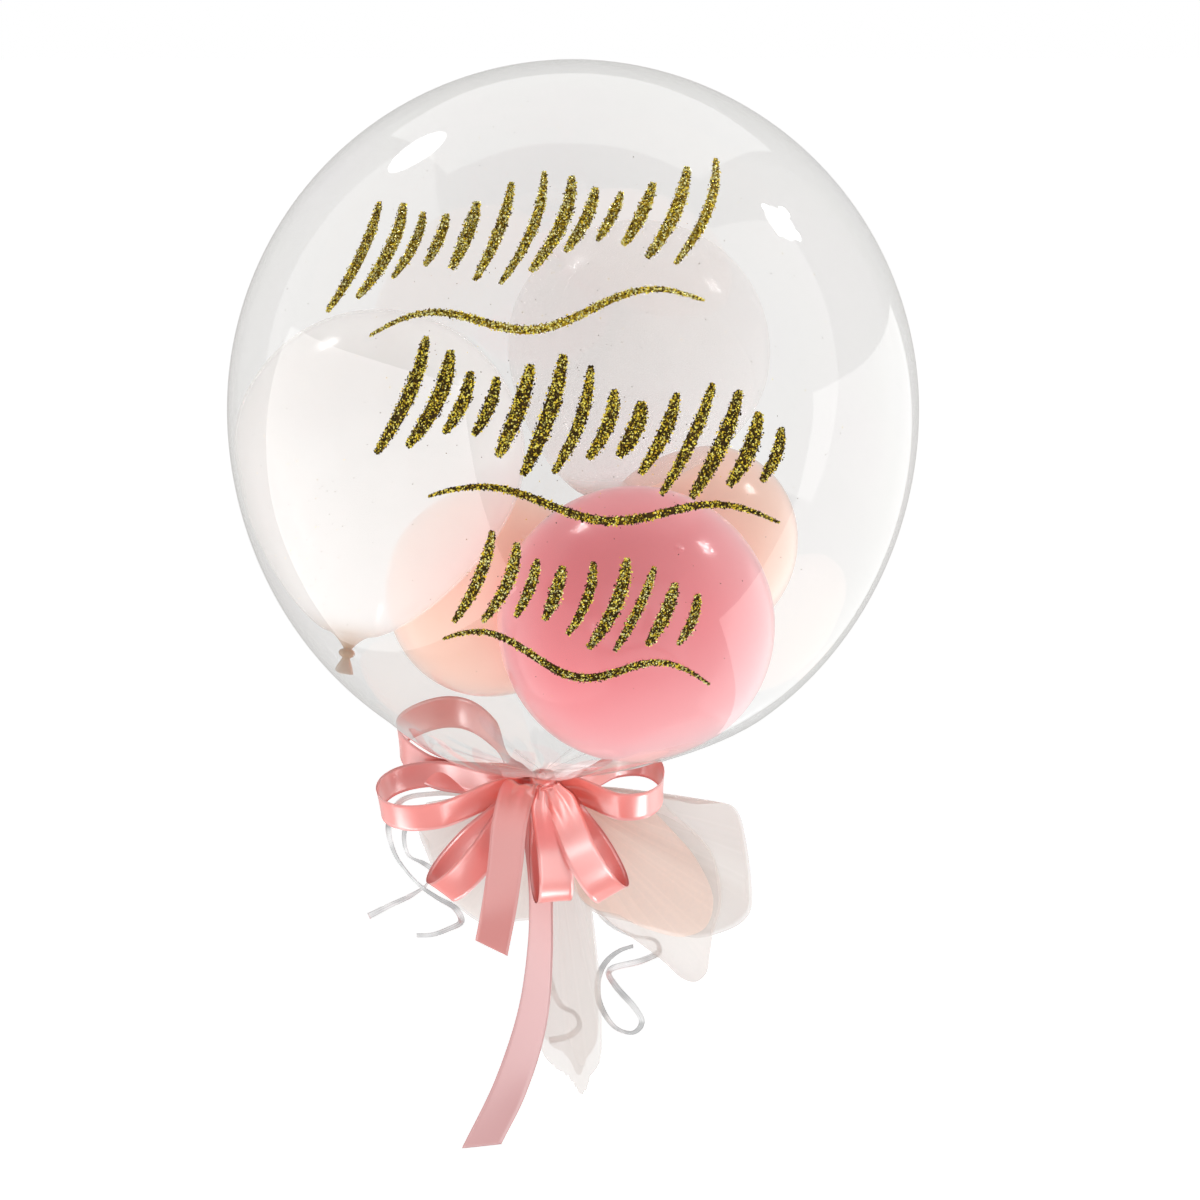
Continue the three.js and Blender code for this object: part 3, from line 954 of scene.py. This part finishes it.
def on_film(across, upward):
    """Points of the film's front seen at these places, and the film's outward directions there."""
    across, upward = np.broadcast_arrays(np.asarray(across, float), np.asarray(upward, float))
    start = np.array(ACROSS) * across[..., None] + np.array(UPWARD) * upward[..., None]
    best = None
    for rise in (CROWN_RISE, BELLY_DROP):
        scale = 1 / np.array([BUBBLE_RADIUS, BUBBLE_RADIUS, rise])
        o, d = start * scale, np.array(NEARER) * scale
        a, b, c = d @ d, 2 * o @ d, (o * o).sum(-1) - 1
        t = (-b + np.sqrt(np.maximum(b * b - 4 * a * c, 0))) / (2 * a)
        hit = start + t[..., None] * np.array(NEARER)
        normal = unit(hit * scale * scale)
        if best is None:
            best = hit, normal
        else:
            low = hit[..., 2:] < 0
            best = np.where(low, hit, best[0]), np.where(low, normal, best[1])
    hit, normal = best
    return np.array(CENTRE) + hit + normal * FILM_PROUD, normal


def blade(across, upward, height, lean, bend, width):
    """A slanted stroke: its middle line and its widths, thin at both ends."""
    t = np.linspace(-0.5, 0.5, 26)
    a = across + height * t * math.sin(lean) + bend * height * (1 - 4 * t * t)
    b = upward + height * t * math.cos(lean)
    return a, b, width * (0.35 + 0.65 * np.cos(math.pi * t) ** 0.6)


def swash(a0, b0, a1, b1, wave):
    """A long flat wave of a stroke."""
    t = np.linspace(0, 1, 60)
    a = lerp(a0, a1, t)
    b = lerp(b0, b1, t) + wave * np.sin(2 * math.pi * WAVE_SWINGS * t)
    return a, b, WAVE_WIDTH * (0.25 + 0.75 * np.sin(math.pi * t) ** 0.7)


# Each row, in millimetres across and up from the bubble's middle: where it starts and ends, how many
# strokes it has, the shortest and the tallest, how many times their heights swell along the row, their
# width, the painted lighting of its flakes (painted light on the top row, painted shade on the middle
# one), and the wave under it: where that starts, where it ends and how high it swings
GLITTER_ROWS = {
    "glitter_row_top": dict(
        start=(-176, 112), end=(100, 146), count=13, low=46, high=100, swells=2.0, width=11,
        painted_lighting=0.2, wave=(-160, 44, 106, 70, 12),
    ),
    "glitter_row_middle": dict(
        start=(-134, -4), end=(160, -50), count=14, low=46, high=100, swells=2.5, width=13,
        painted_lighting=-0.12, wave=(-112, -84, 168, -104, 10),
    ),
    "glitter_row_bottom": dict(
        start=(-78, -148), end=(94, -182), count=9, low=44, high=80, swells=1.5, width=11,
        painted_lighting=0.04, wave=(-104, -198, 114, -236, 12),
    ),
}
STROKE_LEAN = math.radians(22)
WAVE_SWINGS = 1.5
WAVE_WIDTH = 8 * MM


def strokes_of(row):
    """Leaning strokes side by side, all bent alike, over a wave."""
    made = []
    for s in np.linspace(0, 1, row["count"]):
        across, upward = (lerp(row["start"][k], row["end"][k], s) * MM for k in (0, 1))
        swell = 0.5 + 0.5 * math.cos(2 * math.pi * row["swells"] * s)
        height = lerp(row["low"], row["high"], swell) * MM
        lean = STROKE_LEAN + math.radians(3 * math.sin(9 * s + 1))
        width = row["width"] * (1 + 0.15 * math.sin(23 * s)) * MM
        made.append(blade(across, upward, height, lean, 0.07 + 0.03 * math.sin(14 * s), width))
    made.append(swash(*(v * MM for v in row["wave"])))
    return made


FLAKES_PER_AREA = 1.1e6
FLAKE_SIZE = 0.00095
FLECK_SIZE = 0.0005
BED_COLUMNS = 5


def flakes(a, b, size, tones, tilt):
    """Small flat flakes at places on the film, each tipped its own way."""
    p, n = on_film(a, b)
    count = len(p)
    first = unit(np.cross(n, rng.normal(size=(count, 3))))
    tip = unit(n + tilt * rng.uniform(0, 1, (count, 1)) * first)
    u = unit(np.cross(tip, rng.normal(size=(count, 3))))
    v = np.cross(tip, u)
    size = size * rng.uniform(0.6, 1.25, (count, 1))
    p = p + n * rng.uniform(0, 0.0008, (count, 1))
    corners = [p + u * size, p + v * size * 0.8, p - u * size, p - v * size * 0.8]
    points = np.stack(corners, 1).reshape(-1, 3)
    return points, np.arange(count * 4).reshape(-1, 4).tolist(), np.repeat(tones, 4)


def add_glitter_row(name, strokes, finish, painted_lighting):
    """A dark bed under each stroke, covered with loose flakes that spill a little over its edges."""
    all_points, all_faces, all_tones = [], [], []
    base = 0
    for a, b, widths in strokes:
        da, db = np.gradient(a), np.gradient(b)
        length = np.hypot(da, db)
        na, nb = -db / length, da / length
        places = np.linspace(-0.4, 0.4, BED_COLUMNS)
        bed = [on_film(a + na * widths * k, b + nb * widths * k)[0] for k in places]
        bed = np.stack(bed, 1).reshape(-1, 3)
        all_points.append(bed)
        all_faces += [[base + k for k in f] for f in grid_faces(len(a), BED_COLUMNS)]
        # The bed's tone is from the painted-shade end of the flake tones, with the row's painted lighting
        # added
        all_tones.append(np.full(len(bed), 0.2 + max(painted_lighting, 0)))
        base += len(bed)
        count = int(float((length * widths).sum()) * FLAKES_PER_AREA)
        index = np.arange(len(a))
        pick = rng.uniform(0, len(a) - 1, count)
        w = np.interp(pick, index, widths)
        spread = rng.uniform(-0.46, 0.46, count) + rng.normal(0, 0.055, count)
        fa = np.interp(pick, index, a) + np.interp(pick, index, na) * w * spread
        fb = np.interp(pick, index, b) + np.interp(pick, index, nb) * w * spread
        # Each flake's tone, with the row's painted lighting added: lighter on the top row, in shade on
        # the middle one
        tones = np.clip(rng.beta(0.6, 0.7, count) + painted_lighting, 0, 1)
        points, faces, tones = flakes(fa, fb, FLAKE_SIZE, tones, 0.9)
        all_points.append(points)
        all_faces += [[base + k for k in f] for f in faces]
        all_tones.append(tones)
        base += len(points)
    points, tones = np.vstack(all_points), np.concatenate(all_tones)
    piece(name, points, all_faces, finish, "glitter", smooth=False, stored={"tone": tones})


def add_glitter(finish):
    """The three rows, and flecks that have strayed from them, with some more at the far left."""
    for name, row in GLITTER_ROWS.items():
        add_glitter_row(name, strokes_of(row), finish, row["painted_lighting"])
    a = np.concatenate([rng.normal(0.0, 0.12, 330), rng.uniform(-0.28, -0.18, 90)])
    b = np.concatenate([rng.normal(0.0, 0.12, 330), rng.uniform(-0.2, 0.0, 90)])
    inside = np.hypot(a, b) < 0.285
    a, b = a[inside], b[inside]
    points, faces, tones = flakes(a, b, FLECK_SIZE, rng.uniform(0, 0.6, len(a)), 0.5)
    piece("glitter_flecks", points, faces, finish, "glitter", smooth=False, stored={"tone": tones})


# ---------------------------------------------------------------------------------------------------
# Studio


FLOOR_DROP = 1.5
FLOOR_HALF = 60.0


def add_floor(finish):
    z = cad_bounds[0][2] - FLOOR_DROP
    corners = [(x * FLOOR_HALF, y * FLOOR_HALF, z) for x, y in ((-1, -1), (1, -1), (1, 1), (-1, 1))]
    mesh = bpy.data.meshes.new("floor")
    mesh.from_pydata(corners, [], [(0, 1, 2, 3)])
    mesh.materials.append(finish)
    floor = bpy.data.objects.new("floor", mesh)
    bpy.context.scene.collection.objects.link(floor)
    floor.visible_glossy = False


BOW_MIDDLE = Vector((0, -0.02, -0.04))
# Each light: azimuth, elevation, distance, width, height and brightness. Azimuth 0 is the viewer's
# side and 90 the viewer's right.
PANELS = {
    "panel_left": (-70, -18, 1.5, 2.6, 2.1, 0.72),
    "panel_right": (108, -25, 1.5, 2.0, 1.9, 0.68),
    "panel_top": (178, 62, 1.6, 1.9, 1.3, 0.5),
}
BOW_STRIPS = {
    "strip_left": (-50, 12, 1.5, 0.34, 1.4, 2.6),
    "strip_right": (50, 6, 1.5, 0.34, 1.4, 2.4),
    "strip_low_left": (-60, -50, 1.5, 0.80, 0.45, 3.6),
    "strip_low_right": (56, -54, 1.5, 0.70, 0.42, 5.0),
    "strip_low_front": (-30, -30, 1.5, 0.46, 0.34, 5.5),
}
FRONT_PANEL = (8, 8, 1.9, 2.6, 2.6, 0.62)
SHADES = {
    "lamp_shade_left": (-128, 50, 1.9, 0.42, 0.42, 2.2),
    "lamp_shade_right": (104, 40, 1.9, 0.30, 0.30, 2.2),
}
# Five small lamps in front of each shade: four round one, this many degrees out from it
LAMP_CLUSTERS = {"left": (-128, 50), "right": (104, 40)}
LAMP = (1.7, 0.085, 0.085, 16.0)
LAMP_SPREAD = 4.0
LAMPS_ROUND = 4


def add_panel(
    name, azimuth, elevation, distance, width, height, brightness, shape="RECTANGLE", middle=CENTRE
):
    """A soft light aimed at the bubble's middle, or at the bow's."""
    az, el = math.radians(azimuth), math.radians(elevation)
    away = Vector((math.cos(el) * math.sin(az), -math.cos(el) * math.cos(az), math.sin(el)))
    light = bpy.data.lights.new(name, "AREA")
    light.shape = shape
    light.size = width
    light.size_y = height
    light.energy = brightness * math.pi * width * height
    made = bpy.data.objects.new(name, light)
    made.location = middle + away * distance
    made.rotation_euler = away.to_track_quat("Z", "Y").to_euler()
    made.visible_camera = False
    bpy.context.scene.collection.objects.link(made)
    return made


def light_only(lights, name, pieces):
    """Let the lights shine on these pieces alone."""
    lit = bpy.data.collections.new(name)
    for made in pieces:
        lit.objects.link(made)
    for light in lights:
        light.light_linking.receiver_collection = lit


def add_lights(ribbons, all_but_film):
    """The narrow lights shine on the satin alone and the front one on all but the film, so that the
    film's reflections stay as they are."""
    for name, light in PANELS.items():
        add_panel(name, *light)
    strips = [add_panel(name, *light, middle=BOW_MIDDLE) for name, light in BOW_STRIPS.items()]
    light_only(strips, "shiny_ribbons", ribbons)
    light_only([add_panel("panel_front", *FRONT_PANEL)], "all_but_film", all_but_film)
    for name, light in SHADES.items():
        add_panel(name, *light, "DISK")
    for side, (azimuth, elevation) in LAMP_CLUSTERS.items():
        for i in range(LAMPS_ROUND + 1):
            turn = 2 * math.pi * i / LAMPS_ROUND
            spread = LAMP_SPREAD if i < LAMPS_ROUND else 0.0
            across = azimuth + spread * 1.4 * math.cos(turn)
            add_panel(f"lamp_{side}_{i + 1}", across, elevation + spread * math.sin(turn), *LAMP, "DISK")


def set_world():
    """White to the viewer, and grey to the objects in it, but lighter behind and to the right."""
    world = bpy.data.worlds.new("white_studio")
    bpy.context.scene.world = world
    f = Finish("white_studio", world)
    seen = f.out(f.node("ShaderNodeLightPath"), "Is Camera Ray")
    split = f.node("ShaderNodeSeparateXYZ", {"Vector": f.place("Generated")})

    def towards(axis, low, high):
        sockets = {"Value": f.out(split, axis), "From Min": low, "From Max": high}
        return f.out(f.node("ShaderNodeMapRange", sockets))

    around = f.blend(towards("Y", -0.2, 0.9), rgb(0.20, 0.20, 0.20), rgb(0.66, 0.65, 0.64))
    around = f.blend(0.55 * towards("X", -0.1, 0.8), around, rgb(1.0, 1.0, 0.99))
    colour = f.blend(seen, around, rgb(1, 1, 1))
    f.done(f.out(f.node("ShaderNodeBackground", {"Color": colour, "Strength": 1.0})))
    bpy.context.scene.view_settings.view_transform = "Standard"


# ---------------------------------------------------------------------------------------------------
# The whole scene

add_camera()
add_curls(curl_finish())
add_film(film_finish())
add_tie(elastic_finish())

# Each latex: its own colour, the paler one painted where more light falls, the one at its neck, how
# solid it looks and how strongly it glows as painted light
LATEX = {
    "pink_latex": ((0.96, 0.235, 0.265), (0.97, 0.45, 0.48), (0.8, 0.1, 0.15), 1.0, 0.16),
    "peach_latex": ((0.98, 0.61, 0.48), (0.98, 0.72, 0.61), (0.75, 0.3, 0.18), 1.0, 0.14),
    "pearl_latex": ((0.94, 0.925, 0.91), (0.97, 0.955, 0.94), (0.42, 0.25, 0.13), 0.44, 0.22),
    # The pearl latex again, painted darker and greyer as shade, for the balloon at the back
    "shaded_pearl_latex": ((0.78, 0.72, 0.70), (0.84, 0.79, 0.77), (0.45, 0.3, 0.24), 0.22, 0.15),
}
pink, peach, pearl, shaded_pearl = (
    latex_finish(name, *(rgb(*colour) for colour in colours), alpha, painted_glow)
    for name, (*colours, alpha, painted_glow) in LATEX.items()
)
add_inside(
    {
        "pink_balloon": (pink, "latex_pink"),
        "peach_balloon_left": (peach, "latex_peach"),
        "peach_balloon_right": (peach, "latex_peach"),
        "pearl_balloon_left": (pearl, "latex_pearl"),
        # The back pearl balloon wears the painted-shade copy of the pearl latex
        "pearl_balloon_back": (shaded_pearl, "latex_pearl"),
    }
)

satin = satin_finish()
add_satin_knot(satin)
add_satin(satin)
blush_net = tulle_finish("blush_tulle", 0.5, rgb(0.93, 0.70, 0.59), rgb(0.92, 0.62, 0.51))
pale_net = tulle_finish("pale_tulle", 0.40, rgb(0.64, 0.60, 0.565), rgb(0.66, 0.56, 0.50))
grey_net = tulle_finish("shaded_tulle", 0.52, rgb(0.76, 0.70, 0.66), rgb(0.74, 0.66, 0.60))
add_tulle_knot(blush_net)
add_tulle(blush_net, pale_net, grey_net)
add_glitter(glitter_finish())

add_floor(floor_finish())
meshes = [made for made in bpy.data.objects if made.type == "MESH"]
add_lights(
    ribbons=[made for made in meshes if made.name.startswith(("satin_loop", "satin_knot"))],
    all_but_film=[made for made in meshes if made.name != "bubble_film"],
)
set_world()
